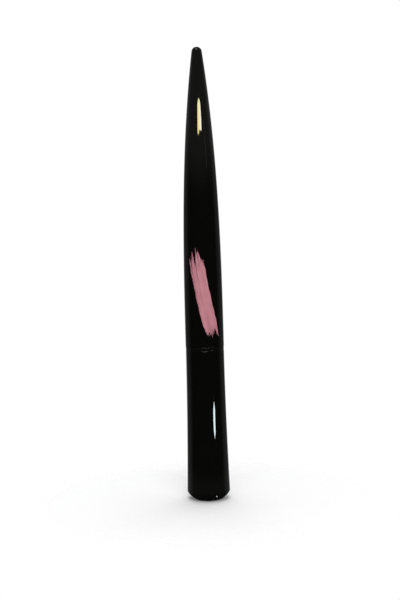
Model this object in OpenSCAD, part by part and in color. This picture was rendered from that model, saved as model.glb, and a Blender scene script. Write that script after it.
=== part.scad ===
// A liquid eyeliner pen that stands on the closed end of its cap, with all that it holds.
// Z runs up the pen, and z = 0 is the flat that the cap stands on.
// Lengths stack upwards from there, and radii step inwards from the outside of the barrel.

/* [Cap shell] */
// Thickness of the cap's closed end
cap_floor_t = 3.2; // [2:0.1:4]
// Wall of the cap shell at its mouth
cap_wall = 0.75; // [0.6:0.01:0.95]
// How much wider the cap's base is than its mouth, on the radius
cap_flare = 0.7; // [0:0.02:1.2]
// How late the cap flares out: 1 is a straight cone, 2 a bell
cap_flare_power = 1.83; // [1:0.01:3]
// Radius of the rounded edge round the cap's base
cap_base_round = 3.35; // [1:0.05:4]
// Radius of the rounded lip at the cap's mouth
cap_lip_round = 0.35; // [0.1:0.01:0.45]
// How far the cap's mouth lies inside the line of the barrel
cap_mouth_step = 0.04; // [0:0.01:0.1]

/* [Cap liner] */
// Thickness of the liner's floor, which carries the spring
liner_floor_t = 1.0; // [0.6:0.05:1.5]
// Wall of the liner where it grips the pen
liner_wall = 0.6; // [0.45:0.01:0.75]
// How far the liner steps in to guide the inner cap
liner_step = 0.55; // [0.4:0.01:0.7]
// Height of the ledge inside the liner that keeps the inner cap in
liner_catch = 0.2; // [0.1:0.01:0.3]
// How far the liner ends below the cap's mouth
liner_recess = 0.8; // [0.5:0.05:1.5]
// Radius of the half-round groove that the snap bead drops into
snap_groove_r = 0.3; // [0.2:0.01:0.4]
// How far the snap bead lies below the cap's mouth
snap_depth = 4.0; // [2:0.1:6]
// Height of the boss that centres the spring
spring_boss_h = 1.0; // [0.5:0.1:1.5]

/* [Inner cap] */
// Wall of the inner cap
inner_cap_wall = 0.45; // [0.35:0.01:0.55]
// Thickness of the inner cap's floor
inner_cap_floor_t = 0.8; // [0.5:0.05:1.2]
// Thickness of the flange that the liner's ledge holds back
inner_cap_flange_t = 1.1; // [0.7:0.05:1.5]
// How far the flange lies below the inner cap's mouth
inner_cap_flange_drop = 9.0; // [6:0.1:12]
// Thickness of the soft ring on the inner cap's mouth
inner_seal_t = 0.5; // [0.3:0.05:0.8]
// How far the inner cap can be pushed in against its spring
inner_cap_travel = 1.2; // [0.5:0.1:1.5]

/* [Inner cap spring] */
// Length of the spring between the liner and the inner cap
spring_len = 7.5; // [6:0.1:10]
// Outer diameter of the spring
spring_d = 5.6; // [4:0.1:6.8]
// Diameter of the spring's wire
spring_wire_d = 0.45; // [0.3:0.01:0.55]
// Number of curls in the spring
spring_curls = 6; // [4:1:7]

/* [Brush] */
// Length of bristle that stands out of the nose
brush_len = 9.5; // [6:0.1:12]
// Diameter of the bundle of bristles at the nose
brush_d = 2.2; // [1.6:0.02:2.8]
// Space between the bristles' point and the inner cap's floor
brush_room = 2.0; // [1:0.1:3]
// Thickness of the fused butt of the bristles
brush_butt_t = 0.8; // [0.5:0.05:1.2]
// Wall of the collar that grips the bristles
brush_collar_wall = 0.35; // [0.25:0.01:0.45]
// How far the butt is sunk below the floor of the collector's chamber
butt_sink = 0.42; // [0.2:0.02:0.7]
// Width of the air grooves along the collar
air_groove_w = 0.4; // [0.2:0.02:0.6]
// How late the bristles draw to their point
brush_point_power = 1.7; // [1.2:0.05:3]

/* [Front section] */
// Length of the cone at the nose
nose_len = 5.0; // [3:0.1:7]
// Length of the neck that the inner cap closes round
neck_len = 4.5; // [3:0.1:6]
// Length of the body that slides into the cap
plug_len = 12.6; // [9:0.1:16]
// Height of the collar that shows between cap and barrel
collar_h = 1.0; // [0.6:0.05:1.4]
// Radius of the rounded edges of that collar
collar_round = 0.3; // [0.1:0.01:0.3]
// How far the collar lies inside the line of the barrel
collar_step = 0.06; // [0:0.01:0.15]
// Length of the sleeve that goes up into the barrel
sleeve_len = 10.9; // [8:0.1:14]
// Wall of the front section
section_wall = 0.75; // [0.6:0.01:0.9]
// Wall at the very tip of the nose
nose_wall = 0.4; // [0.3:0.01:0.6]
// Depth of the lip at the nose that stops the brush collar
nose_lip_t = 1.2; // [0.6:0.05:1.6]
// How far the rib that locks the sleeve in the barrel stands out
lock_rib_h = 0.1; // [0.05:0.01:0.15]
// Width of that rib
lock_rib_w = 0.8; // [0.5:0.05:1.2]
// How far the rib lies below the sleeve's upper end
lock_rib_drop = 3.0; // [2:0.1:5]

/* [Feed] */
// Diameter of the fibre rod that feeds the brush
feed_rod_d = 1.5; // [1:0.02:1.8]
// Wall of the collector round that rod
collector_core_wall = 0.8; // [0.5:0.02:1]
// Thickness of one fin of the collector
fin_t = 0.3; // [0.2:0.01:0.4]
// Distance from one fin to the next
fin_pitch = 0.75; // [0.6:0.01:1]
// Width of the slots that join the fins' chambers
fin_slot_w = 0.5; // [0.3:0.02:0.8]
// Thickness of the solid discs at the collector's two ends
collector_end_t = 0.9; // [0.6:0.05:1.5]
// Wall of the tube that carries the rod into the tank
tail_tube_wall = 0.5; // [0.3:0.02:0.6]
// How far that tube stands up inside the tank
tail_tube_rise = 2.5; // [1:0.1:4]
// How far the rod stands up out of the tube
rod_rise = 1.5; // [0.5:0.1:3]

/* [Ink tank] */
// Length of the tank, from its flange to its tail end
tank_len = 34.0; // [26:0.1:42]
// Wall of the tank
tank_wall = 0.6; // [0.4:0.01:0.8]
// Thickness of the flange that hangs the tank in the barrel
tank_flange_t = 0.8; // [0.5:0.05:1.2]
// Thickness of the plug in the tank's mouth
tank_plug_t = 3.0; // [2.4:0.1:4]
// Thickness of the round seal on that plug
seal_wire_d = 0.7; // [0.5:0.02:0.9]
// Thickness of the head of the tail plug
tail_head_t = 1.0; // [0.6:0.05:1.5]
// Length of the skirt of the tail plug inside the tank
tail_skirt_len = 3.0; // [2:0.1:4]
// Wall of that skirt
tail_skirt_wall = 0.6; // [0.4:0.02:0.8]

/* [Barrel] */
// Diameter of the barrel at its mouth
barrel_d = 12.0; // [11:0.02:14]
// Length of the barrel, from its mouth to its tail
barrel_len = 92.9; // [80:0.1:110]
// Wall of the barrel round the front section's sleeve
barrel_wall = 0.9; // [0.7:0.01:1.1]
// Extra wall behind the ledge that the tank's flange rests on
barrel_ledge = 0.3; // [0.2:0.01:0.5]
// How late the barrel tapers: 1 is a cone, more is fuller
barrel_taper_power = 2.79; // [1.5:0.01:4]
// Diameter of the barrel just before its rounded tail
tail_d = 3.2; // [2.6:0.02:4.5]
// Length of that rounded tail
tail_round = 1.5; // [0.8:0.05:2.5]
// Thickness of plastic left solid at the tail
tail_solid = 9.0; // [6:0.1:14]
// Radius of the rounded lip at the barrel's mouth
barrel_lip_round = 0.35; // [0.1:0.01:0.45]

/* [Label print] */
// Length of the printed brush stroke along the barrel
stroke_len = 28.0; // [15:0.1:40]
// Width of the stroke
stroke_w = 4.3; // [2:0.1:6]
// Slant of the stroke from the barrel's axis, in degrees
stroke_tilt = 10.5; // [0:0.5:20]
// Height of the stroke's middle above the barrel's mouth
stroke_rise = 16.8; // [12:0.1:40]
// Thickness of the print
stroke_t = 0.05; // [0.02:0.005:0.1]

/* [Clearances] */
// Radial play of pieces that are pressed together
press_clear = 0.02; // [0.005:0.005:0.04]
// Radial play of pieces that slide in one another
slide_clear = 0.08; // [0.03:0.01:0.1]
// Radial play of pieces that go together loosely
loose_clear = 0.1; // [0.05:0.01:0.15]
// Space left between end faces that meet
seat_clear = 0.03; // [0.01:0.01:0.05]

/* [Hidden] */
$fn = 96;
// Overrun of every cut
over = 1;
// Points along the barrel's curve, the cap's curve and a rounded corner
barrel_steps = 32;
cap_steps = 16;
round_steps = 8;

// Heights, from the cap's base up
liner_z = cap_floor_t + seat_clear;
spring_z = liner_z + liner_floor_t;
inner_cap_z = spring_z + spring_len;
brush_tip_z = inner_cap_z + inner_cap_floor_t + brush_room;
nose_z = brush_tip_z + brush_len;
neck_z = nose_z + nose_len;
shoulder_z = neck_z + neck_len;
collar_z = shoulder_z + plug_len;
cap_len = collar_z - seat_clear;
barrel_z = collar_z + collar_h;
sleeve_top_z = barrel_z + sleeve_len;
tank_z = sleeve_top_z + seat_clear;
ledge_z = tank_z + tank_flange_t + seat_clear;
tank_top_z = tank_z + tank_len;
tail_head_top_z = tank_top_z + seat_clear + tail_head_t;
tail_z = barrel_z + barrel_len;
hollow_top_z = tail_z - tail_solid;

// The barrel's outside: a curve that keeps its width at first and draws in to the tail
barrel_r = barrel_d / 2;
tail_slope = (barrel_r - tail_d / 2) * barrel_taper_power / (barrel_len - tail_round);
tail_arc_start = atan(tail_slope * tail_round / (tail_d / 2));
taper_len = barrel_len - tail_round * (1 - sin(tail_arc_start));
function taper_share(z) = max(0, z - barrel_z) / taper_len;
function barrel_r_at(z) =
    barrel_r - (barrel_r - tail_d / 2) * pow(taper_share(z), barrel_taper_power);

// The cap's outside: a curve that widens from the mouth to the base
cap_mouth_r = barrel_r - cap_mouth_step;
cap_base_r = cap_mouth_r + cap_flare;
function cap_r_at(z) = cap_mouth_r
    + cap_flare * pow((cap_len - z) / (cap_len - cap_base_round), cap_flare_power);

// Radii inside the cap, from the shell inwards
shell_bore_r = cap_mouth_r - cap_wall;
liner_r = shell_bore_r - press_clear;
liner_bore_r = liner_r - liner_wall;
guide_bore_r = liner_bore_r - liner_step;
pocket_r = guide_bore_r + liner_catch;
inner_cap_r = guide_bore_r - slide_clear;
inner_cap_bore_r = inner_cap_r - inner_cap_wall;
flange_r = pocket_r - slide_clear;
liner_top_z = cap_len - liner_recess;
guide_top_z = shoulder_z - seat_clear;
snap_z = cap_len - snap_depth;
snap_out = slide_clear - press_clear;
seal_z = shoulder_z - seat_clear - inner_seal_t;
inner_cap_top_z = seal_z - seat_clear;
inner_flange_top_z = inner_cap_top_z - inner_cap_flange_drop;
inner_flange_z = inner_flange_top_z - inner_cap_flange_t;
pocket_top_z = inner_flange_top_z + seat_clear;
pocket_z = inner_flange_z - inner_cap_travel - seat_clear;

// Radii of the front section and what it holds
section_r = liner_bore_r - slide_clear;
chamber_r = section_r - section_wall;
neck_r = inner_cap_bore_r - loose_clear;
sleeve_bore_r = barrel_r_at(ledge_z) - barrel_wall;
sleeve_r = sleeve_bore_r - press_clear;
lock_rib_z = sleeve_top_z - lock_rib_drop;
chamber_z = shoulder_z + section_wall;
brush_r = brush_d / 2;
brush_collar_bore_r = brush_r + press_clear;
brush_collar_r = brush_collar_bore_r + brush_collar_wall;
nose_bore_r = brush_collar_r + press_clear;
nose_tip_r = nose_bore_r + nose_wall;
brush_collar_z = nose_z + nose_lip_t;
butt_top_z = chamber_z - butt_sink;
butt_z = butt_top_z - brush_butt_t;
butt_r = brush_collar_r - press_clear;
brush_collar_len = butt_z - seat_clear - brush_collar_z;

// Radii and heights of the feed
rod_r = feed_rod_d / 2;
rod_bore_r = rod_r + press_clear;
core_r = rod_bore_r + collector_core_wall;
fin_r = chamber_r - loose_clear;
collector_z = chamber_z + seat_clear;
collector_top_z = sleeve_top_z - seat_clear;
collector_len = collector_top_z - collector_z;
fin_count = floor((collector_len - 2 * collector_end_t) / fin_pitch);
tail_tube_r = rod_bore_r + tail_tube_wall;
plug_z = tank_z + seat_clear;
plug_top_z = plug_z + tank_plug_t;
tail_tube_top_z = plug_top_z + tail_tube_rise;
rod_z = butt_top_z + seat_clear;
rod_top_z = tail_tube_top_z + rod_rise;

// Radii of the tank and what is in it
tank_r = barrel_r_at(tail_head_top_z) - barrel_wall - barrel_ledge - loose_clear;
tank_bore_r = tank_r - tank_wall;
plug_r = tank_bore_r - press_clear;
seal_r = seal_wire_d / 2;
seal_ring_r = tank_bore_r - press_clear / 2 - seal_r;
seal_ring_z = plug_z + tank_plug_t / 2;
tail_skirt_z = tank_top_z + seat_clear - tail_skirt_len;
ball_d = tank_bore_r - tail_tube_r - 2 * loose_clear;
ball_orbit_r = (tank_bore_r + tail_tube_r) / 2;
ball_z = plug_top_z + seat_clear + ball_d / 2;

// Outline of the stroke: [share of its length from the lower end, share of its width]
stroke_shares = [
    [0.00, 0.12], [0.02, 0.27], [0.06, 0.40], [0.13, 0.47], [0.24, 0.44], [0.36, 0.49],
    [0.50, 0.46], [0.66, 0.50], [0.80, 0.46], [0.90, 0.47], [0.95, 0.42], [0.92, 0.31],
    [0.98, 0.25], [0.94, 0.13], [1.00, 0.03], [0.95, -0.06], [0.97, -0.16], [0.92, -0.25],
    [0.96, -0.36], [0.90, -0.45], [0.77, -0.47], [0.62, -0.44], [0.48, -0.50], [0.34, -0.46],
    [0.20, -0.48], [0.10, -0.42], [0.05, -0.28], [0.01, -0.09]
];

// Points of an arc about [x, z], from one angle to another
function arc(x, z, r, from, to) = [
    for (i = [0:round_steps])
        let (a = from + (to - from) * i / round_steps)
            [x + r * cos(a), z + r * sin(a)]
];

// Points of the barrel's curve between two heights, moved inwards by inset
function barrel_curve(from, to, inset) = [
    for (i = [0:barrel_steps])
        let (z = from + (to - from) * i / barrel_steps)
            [barrel_r_at(z) - inset, z]
];

// A ring with square edges
module ring(r_out, r_in, z, h) {
    translate([0, 0, z])
        difference() {
            cylinder(r = r_out, h = h);
            translate([0, 0, -over])
                cylinder(r = r_in, h = h + 2 * over);
        }
}

module cap_shell() {
    base_arc_r = cap_base_r - cap_base_round;
    color("#0c0c0c")
        rotate_extrude()
            polygon(concat(
                [[0, 0]],
                arc(base_arc_r, cap_base_round, cap_base_round, -90, 0),
                [for (i = [1:cap_steps])
                    let (z = cap_base_round
                        + (cap_len - cap_lip_round - cap_base_round) * i / cap_steps)
                        [cap_r_at(z), z]],
                arc(cap_mouth_r - cap_lip_round, cap_len - cap_lip_round, cap_lip_round, 0, 90),
                [[shell_bore_r, cap_len], [shell_bore_r, cap_floor_t], [0, cap_floor_t]]
            ));
}

module cap_liner() {
    boss_r = spring_inner_r - loose_clear;
    color("#2b2b2d")
        difference() {
            union() {
                rotate_extrude()
                    polygon([
                        [0, liner_z], [liner_r, liner_z], [liner_r, liner_top_z],
                        [liner_bore_r, liner_top_z], [liner_bore_r, guide_top_z],
                        [guide_bore_r, guide_top_z], [guide_bore_r, pocket_top_z],
                        [pocket_r, pocket_top_z], [pocket_r, pocket_z],
                        [guide_bore_r, pocket_z], [guide_bore_r, spring_z], [0, spring_z]
                    ]);
                translate([0, 0, spring_z - liner_floor_t / 2])
                    cylinder(r = boss_r, h = spring_boss_h + liner_floor_t / 2);
            }
            rotate_extrude()
                translate([liner_bore_r, snap_z])
                    circle(r = snap_groove_r);
        }
}

module inner_cap() {
    color("#e6e4df")
        rotate_extrude()
            polygon([
                [0, inner_cap_z], [inner_cap_r, inner_cap_z],
                [inner_cap_r, inner_flange_z], [flange_r, inner_flange_z],
                [flange_r, inner_flange_top_z], [inner_cap_r, inner_flange_top_z],
                [inner_cap_r, inner_cap_top_z], [inner_cap_bore_r, inner_cap_top_z],
                [inner_cap_bore_r, inner_cap_z + inner_cap_floor_t],
                [0, inner_cap_z + inner_cap_floor_t]
            ]);
}

module inner_cap_seal() {
    color("#5a5a5c")
        ring(inner_cap_r, inner_cap_bore_r, seal_z, inner_seal_t);
}

// The spring is one tube, swept round a helix
spring_rings = 8;
spring_sides = 6;
spring_wire_r = spring_wire_d / 2;
spring_r = spring_d / 2 - spring_wire_r;
spring_inner_r = (spring_r - spring_wire_r) * cos(180 / spring_rings);
spring_pitch = (spring_len - spring_wire_d - 2 * seat_clear) / spring_curls;
spring_ring_count = spring_curls * spring_rings;
function spring_point(i, out, up) =
    let (
        turn = 360 * i / spring_rings,
        r = spring_r + out,
        z = spring_z + seat_clear + spring_wire_r + spring_pitch * i / spring_rings
    )
    [r * cos(turn), r * sin(turn), z + up];
// The least space between two curls, measured from ring to ring at least half a curl apart
spring_gap = min([
    for (i = [0:spring_ring_count])
        for (j = [i + spring_rings / 2:spring_ring_count])
            norm(spring_point(i, 0, 0) - spring_point(j, 0, 0)) - spring_wire_d
]);

module inner_cap_spring() {
    last = spring_ring_count * spring_sides;
    points = [
        for (i = [0:spring_ring_count])
            for (k = [0:spring_sides - 1])
                let (side = 360 * k / spring_sides)
                    spring_point(i, spring_wire_r * cos(side), spring_wire_r * sin(side))
    ];
    walls = [
        for (i = [0:spring_ring_count - 1])
            for (k = [0:spring_sides - 1])
                let (
                    n = (k + 1) % spring_sides,
                    a = i * spring_sides + k,
                    b = i * spring_sides + n,
                    c = a + spring_sides,
                    d = b + spring_sides
                )
                each [[a, b, d], [a, d, c]]
    ];
    start = [for (k = [1:spring_sides - 2]) [0, k + 1, k]];
    end = [for (k = [1:spring_sides - 2]) [last, last + k, last + k + 1]];
    color("silver")
        polyhedron(points = points, faces = concat(walls, start, end), convexity = 10);
    echo(spring_gap = spring_gap);
}

module brush_tuft() {
    point_steps = 14;
    color("#1c1a1a")
        rotate_extrude()
            polygon(concat(
                [[0, brush_tip_z]],
                [for (i = [1:point_steps])
                    let (s = i / point_steps)
                        [brush_r * (1 - pow(1 - s, brush_point_power)), brush_tip_z + brush_len * s]],
                [[brush_r, butt_z], [butt_r, butt_z], [butt_r, butt_top_z], [0, butt_top_z]]
            ));
}

module brush_collar() {
    grooves = 3;
    color("#d9d6cf")
        difference() {
            ring(brush_collar_r, brush_collar_bore_r, brush_collar_z, brush_collar_len);
            for (i = [0:grooves - 1])
                rotate([0, 0, 360 * i / grooves])
                    translate([brush_collar_r - brush_collar_wall / 2, -air_groove_w / 2,
                        brush_collar_z - over])
                        cube([brush_collar_wall, air_groove_w, brush_collar_len + 2 * over]);
        }
}

module front_section() {
    collar_r = barrel_r - collar_step;
    collar_top_z = barrel_z - seat_clear;
    color("#161617")
        union() {
            rotate_extrude()
                polygon(concat(
                    [[nose_bore_r, nose_z], [nose_tip_r, nose_z], [neck_r, neck_z],
                        [neck_r, shoulder_z], [section_r, shoulder_z], [section_r, collar_z]],
                    arc(collar_r - collar_round, collar_z + collar_round, collar_round, -90, 0),
                    arc(collar_r - collar_round, collar_top_z - collar_round, collar_round, 0, 90),
                    [[sleeve_r, collar_top_z], [sleeve_r, sleeve_top_z],
                        [chamber_r, sleeve_top_z], [chamber_r, chamber_z],
                        [nose_bore_r, chamber_z]]
                ));
            rotate_extrude()
                translate([section_r + snap_out - snap_groove_r, snap_z])
                    circle(r = snap_groove_r);
            ring(sleeve_r + lock_rib_h, sleeve_r - section_wall / 2, lock_rib_z, lock_rib_w);
            ring(nose_bore_r + nose_wall / 2, brush_collar_bore_r, nose_z, nose_lip_t - seat_clear);
        }
}

module collector() {
    fins_z = collector_z + collector_end_t;
    slots_h = collector_len - 2 * collector_end_t;
    color("#c9c5ba")
        difference() {
            union() {
                translate([0, 0, rod_z])
                    cylinder(r = butt_r, h = fins_z - rod_z);
                translate([0, 0, collector_z])
                    cylinder(r = fin_r, h = collector_end_t);
                translate([0, 0, collector_z])
                    cylinder(r = core_r, h = collector_len);
                for (i = [0:fin_count - 1])
                    translate([0, 0, fins_z + (i + 1) * fin_pitch - fin_t])
                        cylinder(r = fin_r, h = fin_t);
                translate([0, 0, collector_top_z - collector_end_t])
                    cylinder(r = fin_r, h = collector_end_t);
                translate([0, 0, collector_top_z - collector_end_t])
                    cylinder(r = tail_tube_r, h = tail_tube_top_z - collector_top_z + collector_end_t);
            }
            translate([0, 0, rod_z - over])
                cylinder(r = rod_bore_r, h = tail_tube_top_z - rod_z + 2 * over);
            for (side = [0, 1])
                rotate([0, 0, 180 * side])
                    translate([core_r, -fin_slot_w / 2, fins_z])
                        cube([fin_r, fin_slot_w, slots_h]);
        }
}

module feed_rod() {
    color("#efe9dc")
        translate([0, 0, rod_z])
            cylinder(r = rod_r, h = rod_top_z - rod_z);
}

module ink_tank() {
    color("#d8dce0", 0.6)
        rotate_extrude()
            polygon([
                [tank_bore_r, tank_z], [sleeve_bore_r - press_clear, tank_z],
                [sleeve_bore_r - press_clear, tank_z + tank_flange_t],
                [tank_r, tank_z + tank_flange_t], [tank_r, tank_top_z], [tank_bore_r, tank_top_z]
            ]);
}

module tank_plug() {
    groove_h = seal_wire_d + 2 * press_clear;
    groove_r = seal_ring_r - seal_r - press_clear;
    groove_z = seal_ring_z - groove_h / 2;
    color("#8c8f94")
        rotate_extrude()
            polygon([
                [tail_tube_r + press_clear, plug_z], [plug_r, plug_z], [plug_r, groove_z],
                [groove_r, groove_z], [groove_r, groove_z + groove_h],
                [plug_r, groove_z + groove_h], [plug_r, plug_top_z],
                [tail_tube_r + press_clear, plug_top_z]
            ]);
}

module tank_seal_ring() {
    color("#202020")
        rotate_extrude()
            translate([seal_ring_r, seal_ring_z])
                circle(r = seal_r);
}

module mixing_balls() {
    color("silver")
        for (side = [-1, 1])
            translate([side * ball_orbit_r, 0, ball_z])
                sphere(r = ball_d / 2);
}

module tank_tail_plug() {
    skirt_r = tank_bore_r - press_clear;
    head_z = tank_top_z + seat_clear;
    color("#8c8f94")
        rotate_extrude()
            polygon([
                [skirt_r - tail_skirt_wall, tail_skirt_z], [skirt_r, tail_skirt_z],
                [skirt_r, head_z], [tank_r, head_z], [tank_r, head_z + tail_head_t],
                [0, head_z + tail_head_t], [0, head_z], [skirt_r - tail_skirt_wall, head_z]
            ]);
}

module barrel() {
    rear_wall = barrel_wall + barrel_ledge;
    rib_groove_r = sleeve_bore_r + lock_rib_h;
    rib_groove_z = lock_rib_z - press_clear;
    rib_groove_top_z = lock_rib_z + lock_rib_w + press_clear;
    tail_arc_r = tail_d / 2 / cos(tail_arc_start);
    arc_z = tail_z - tail_round;
    hollow_r = barrel_r_at(hollow_top_z) - rear_wall;
    lip_z = barrel_z + barrel_lip_round;
    inside = barrel_curve(ledge_z, hollow_top_z, rear_wall);
    color("#0c0c0c")
        rotate_extrude()
            polygon(concat(
                [[sleeve_bore_r, barrel_z]],
                arc(barrel_r - barrel_lip_round, lip_z, barrel_lip_round, -90, 0),
                [for (p = barrel_curve(barrel_z, barrel_z + taper_len, 0)) if (p[1] > lip_z) p],
                [for (i = [1:round_steps])
                    let (a = tail_arc_start + (90 - tail_arc_start) * i / round_steps)
                        [max(0, tail_arc_r * cos(a)), arc_z + tail_round * sin(a)]],
                [[0, hollow_top_z + hollow_r / 2]],
                [for (i = [len(inside) - 1:-1:0]) inside[i]],
                [[sleeve_bore_r, ledge_z], [sleeve_bore_r, rib_groove_top_z],
                    [rib_groove_r, rib_groove_top_z], [rib_groove_r, rib_groove_z],
                    [sleeve_bore_r, rib_groove_z]]
            ));
}

module label_print() {
    mid_z = barrel_z + stroke_rise;
    outline = [for (p = stroke_shares) [p[1] * stroke_w, (p[0] - 0.5) * stroke_len]];
    skin = barrel_curve(barrel_z, barrel_z + taper_len, 0);
    low_z = mid_z - stroke_len;
    high_z = mid_z + stroke_len;
    band = [for (p = skin) if (p[1] > low_z && p[1] < high_z) p];
    color("#ae6e7a")
        intersection() {
            rotate_extrude()
                polygon(concat(
                    band,
                    [for (i = [len(band) - 1:-1:0]) [band[i][0] + stroke_t, band[i][1]]]
                ));
            translate([0, 0, mid_z])
                rotate([90, 0, 0])
                    linear_extrude(height = barrel_d)
                        rotate(stroke_tilt)
                            polygon(outline);
        }
}

cap_shell();
cap_liner();
inner_cap();
inner_cap_seal();
inner_cap_spring();
brush_tuft();
brush_collar();
front_section();
collector();
feed_rod();
ink_tank();
tank_plug();
tank_seal_ring();
mixing_balls();
tank_tail_plug();
barrel();
label_print();
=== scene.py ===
import math
from functools import partial
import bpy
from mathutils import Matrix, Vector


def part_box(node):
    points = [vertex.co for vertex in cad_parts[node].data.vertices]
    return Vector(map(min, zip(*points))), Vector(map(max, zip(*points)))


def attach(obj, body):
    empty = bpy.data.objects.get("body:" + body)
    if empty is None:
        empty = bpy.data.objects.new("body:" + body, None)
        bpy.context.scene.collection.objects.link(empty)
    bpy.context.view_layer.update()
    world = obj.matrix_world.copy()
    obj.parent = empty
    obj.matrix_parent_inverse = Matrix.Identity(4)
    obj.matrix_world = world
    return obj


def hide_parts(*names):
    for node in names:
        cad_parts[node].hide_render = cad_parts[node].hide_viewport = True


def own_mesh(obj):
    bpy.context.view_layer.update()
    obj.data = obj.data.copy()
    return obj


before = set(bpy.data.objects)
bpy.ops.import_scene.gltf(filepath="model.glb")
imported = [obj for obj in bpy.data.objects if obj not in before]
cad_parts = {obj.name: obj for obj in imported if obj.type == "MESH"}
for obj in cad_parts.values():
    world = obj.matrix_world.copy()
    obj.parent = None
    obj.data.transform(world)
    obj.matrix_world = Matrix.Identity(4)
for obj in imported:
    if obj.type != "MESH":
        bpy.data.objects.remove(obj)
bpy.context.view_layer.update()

from types import SimpleNamespace

import bpy
from mathutils import Euler, Matrix, Vector
from mathutils.geometry import tessellate_polygon

bl_info = {
    "name": "Liquid eyeliner pen",
    "version": (1, 0, 0),
    "blender": (4, 5, 0),
    "location": "View3D > Sidebar > Eyeliner pen",
    "description": "Dresses the packed eyeliner pen and sets up its studio",
    "category": "Object",
}

MM = 0.001
QUARTER = math.pi / 2  # of a turn
WELD = 0.002 * MM  # points nearer to each other than this become one
SWEEP_RADIUS = 10 * MM  # circle that a profile is swept on, which must be wider than the pen
LIP_POINTS, TAIL_POINTS, BASE_POINTS = 10, 20, 36  # along these parts of a profile
GOLDEN_ANGLE = 2.39996  # from one bristle to the next, which spreads them evenly
PINCH_ROUNDS = 4  # passes that clear corners of the print which touch at one point only
FILM_WIDTH = 36  # of the camera, in millimetres
NODE_WIDTH, NODE_HEIGHT, NODES_IN_A_ROW = 180, 240, 12
# Kinds of socket: for an input by its value's type, and for the outputs by the tree's kind
INPUTS = {
    int: "NodeSocketInt", float: "NodeSocketFloat", bpy.types.Mesh: "NodeSocketGeometry",
    bpy.types.Material: "NodeSocketMaterial"}
OUTPUTS = {"GeometryNodeTree": "NodeSocketGeometry", "ShaderNodeTree": "NodeSocketFloat"}


def low(node):
    """Lowest corner of a CAD node."""
    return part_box(node)[0]


def high(node):
    """Highest corner of a CAD node."""
    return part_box(node)[1]


def words(key):
    """The plain words of a name in the script."""
    return key.replace("_", " ").capitalize()


# Sizes and colours

def maker(kind, **usual):
    """Prepares properties of one kind, each from a description and a default."""
    def prepare(description, default, **own):
        return partial(kind, description=description, default=default, **{**usual, **own})
    return prepare


length = maker(
    bpy.props.FloatProperty, min=0, precision=5, unit="LENGTH", subtype="DISTANCE")
turn = maker(bpy.props.FloatProperty, precision=4, unit="ROTATION", subtype="ANGLE")
ratio = maker(bpy.props.FloatProperty, min=0, max=100, precision=3)
count = maker(bpy.props.IntProperty, min=3)
tint = maker(bpy.props.FloatVectorProperty, size=3, min=0, max=1, subtype="COLOR")


def mm(description, default):
    """A length whose default is in millimetres."""
    return length(description, default * MM)


def colour(description, *parts):
    """A colour whose default is in the 0 to 255 numbers that a screen shows."""
    def linear(share):
        return share / 12.92 if share <= 0.04045 else ((share + 0.055) / 1.055) ** 2.4
    return tint(description, tuple(linear(part / 255) for part in parts))


class PEN_PG_barrel(bpy.types.PropertyGroup):
    """Sizes of the barrel."""

    mouth_height: length("Height of the barrel's mouth", low("barrel").z)
    tail_height: length("Height of the barrel's tail", high("barrel").z)
    mouth_radius: length("Radius at the mouth", high("barrel").x)
    tail_radius: mm("Radius just before the rounded tail", 1.6)
    tail_round: mm("Length of the rounded tail", 1.5)
    lip_round: mm("Radius of the lip at the mouth", 0.15)
    wall: mm("Wall round the front section's sleeve", 0.9)
    ledge: mm("Extra wall behind the ledge for the tank", 0.3)
    ledge_height: length("Height of the ledge for the tank", low("ink_tank").z + 0.83 * MM)
    solid_tail: mm("Length of the tail that isn't hollow", 9)
    taper_power: ratio("How late the barrel tapers", 2.79)
    rings: count("Rings along the taper", 120)
    segments: count("Faces round the barrel", 192)


class PEN_PG_cap(bpy.types.PropertyGroup):
    """Sizes of the cap's shell."""

    base_height: length("Height of the base", low("cap_shell").z)
    mouth_height: length("Height of the mouth", high("cap_shell").z)
    base_radius: length("Radius where the base's round starts", high("cap_shell").x)
    flare: mm("How much narrower the mouth is than the base", 0.7)
    flare_power: ratio("How late the cap flares out", 1.83)
    base_round: mm("How far in from the rim the base is rounded", 2.49)
    base_rise: mm("Height of the base's rim", 2.55)
    base_power: ratio("1 is a round edge, 2 is a straight bevel", 1.48)
    lip_round: mm("Radius of the lip at the mouth", 0.15)
    wall: mm("Wall at the mouth", 0.75)
    floor: mm("Thickness of the closed end", 3.2)
    rings: count("Rings along the flare", 64)
    segments: count("Faces round the cap", 192)


class PEN_PG_section(bpy.types.PropertyGroup):
    """Sizes of the front section."""

    nose_height: length("Height of the nose", low("front_section").z)
    top_height: length("Height of the sleeve's end", high("front_section").z)
    collar_radius: length("Radius of the collar", high("front_section").x)
    lip_radius: mm("Bore of the lip at the nose", 1.12)
    lip_depth: mm("Depth of the lip at the nose", 1.17)
    bore_radius: mm("Bore for the brush collar", 1.49)
    tip_radius: mm("Radius of the nose at its tip", 1.89)
    nose_length: mm("Length of the nose's cone", 5)
    neck_radius: mm("Radius of the neck", 3.41)
    neck_length: mm("Length of the neck", 4.5)
    body_radius: mm("Radius of the body in the cap", 4.51)
    body_length: mm("Length of the body in the cap", 12.6)
    collar_length: mm("Height of the collar", 0.97)
    collar_round: mm("Radius of the collar's edges", 0.13)
    sleeve_radius: mm("Radius of the sleeve in the barrel", 5.066)
    chamber_radius: mm("Bore for the collector", 3.76)
    floor: mm("Thickness of the chamber's floor", 0.75)
    bead_height: mm("Height of the snap bead", 42.1)
    bead_radius: mm("Radius of the snap bead's round", 0.3)
    bead_out: mm("How far the snap bead stands out", 0.06)
    soft_edge: mm("Radius of the moulded edges", 0.12)
    segments: count("Faces round the section", 160)


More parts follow.
